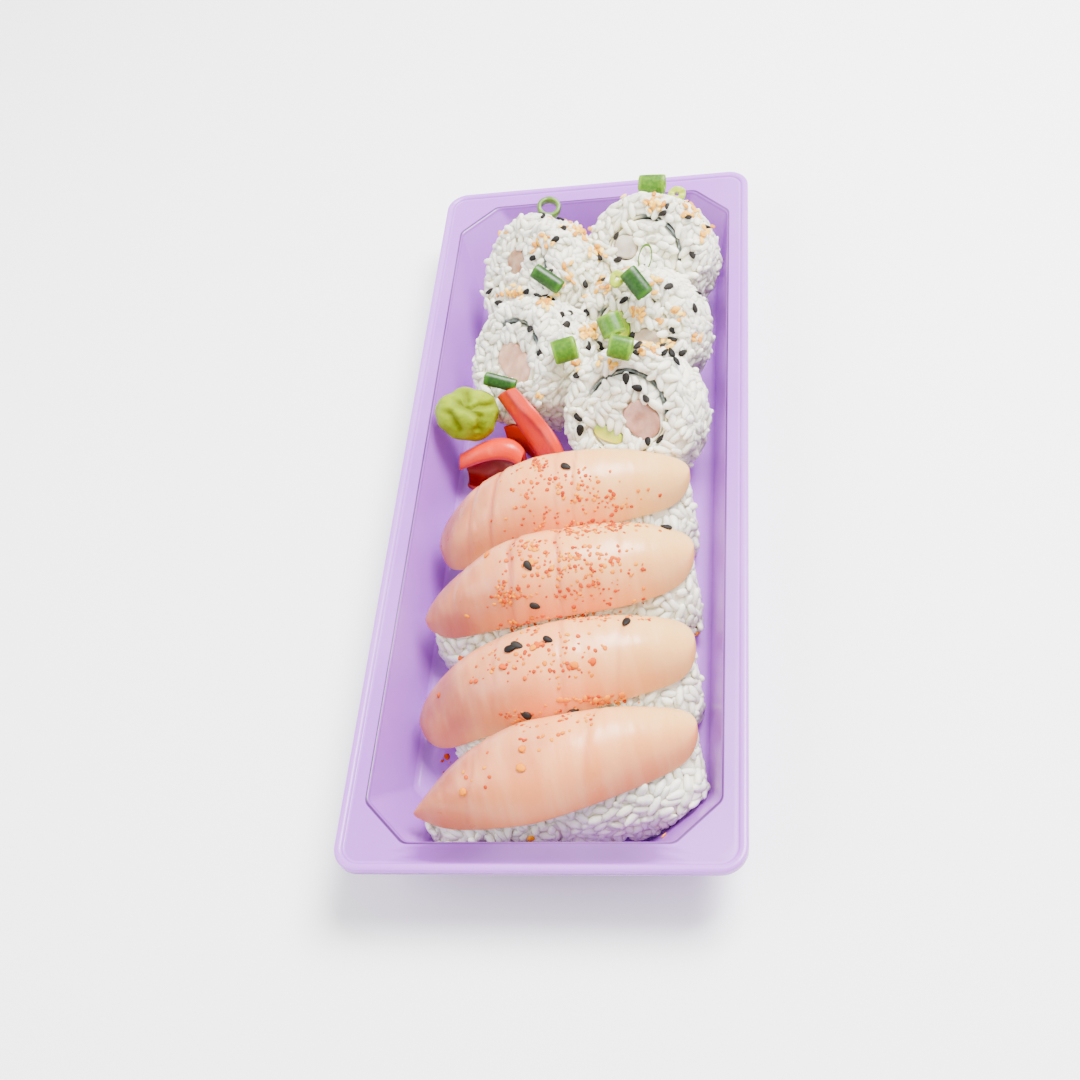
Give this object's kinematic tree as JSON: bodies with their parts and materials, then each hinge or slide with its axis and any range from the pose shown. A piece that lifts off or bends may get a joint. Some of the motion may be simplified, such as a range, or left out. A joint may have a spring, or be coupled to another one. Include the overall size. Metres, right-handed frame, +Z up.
{
  "type": "takeaway sushi tray",
  "caption": "Shallow plastic tray with a flat rim, packed with fish nigiri, inside-out rolls with sesame, pickled ginger and a lump of wasabi.",
  "frame": {"origin": "middle of the tray's underside, on the surface it stands on", "axes": "+Y along the tray's length towards the rolls' end, +X across it to the right, +Z up"},
  "size_m": [0.0904, 0.22, 0.0432],
  "materials": {
    "tray": "gloss",
    "rice": "satin",
    "fish": "moist satin",
    "nori": "satin",
    "avocado": "satin",
    "wasabi": "matt",
    "ginger": "moist satin",
    "onion": "satin"
  },
  "bodies": {
    "root": {"ginger_1": "ginger", "ginger_2": "ginger", "ginger_3": "ginger", "nigiri_fish_1": "fish", "nigiri_fish_2": "fish", "nigiri_fish_3": "fish", "nigiri_fish_4": "fish", "nigiri_rice_1": "rice", "nigiri_rice_2": "rice", "nigiri_rice_3": "rice", "nigiri_rice_4": "rice", "onion_loop_thin": "onion", "onion_ring_far_left": "onion", "onion_ring_pale_right": "onion", "onion_slice_dark_left": "onion", "onion_slice_dark_low": "onion", "onion_slice_pointed": "onion", "onion_slice_yellow": "onion", "onion_tube_between": "onion", "onion_tube_far_right": "onion", "onion_tube_middle_back": "onion", "onion_tube_middle_front": "onion", "roll_avocado_1": "avocado", "roll_avocado_2": "avocado", "roll_core_1": "rice", "roll_core_2": "rice", "roll_core_3": "rice", "roll_core_4": "rice", "roll_core_5": "rice", "roll_fish_1": "fish", "roll_fish_2": "fish", "roll_fish_3": "fish", "roll_fish_4": "fish", "roll_fish_5": "fish", "roll_nori_1": "nori", "roll_nori_2": "nori", "roll_nori_3": "nori", "roll_nori_4": "nori", "roll_nori_5": "nori", "roll_rice_1": "rice", "roll_rice_2": "rice", "roll_rice_3": "rice", "roll_rice_4": "rice", "roll_rice_5": "rice", "tray": "tray", "wasabi": "wasabi"}
  },
  "joints": []
}
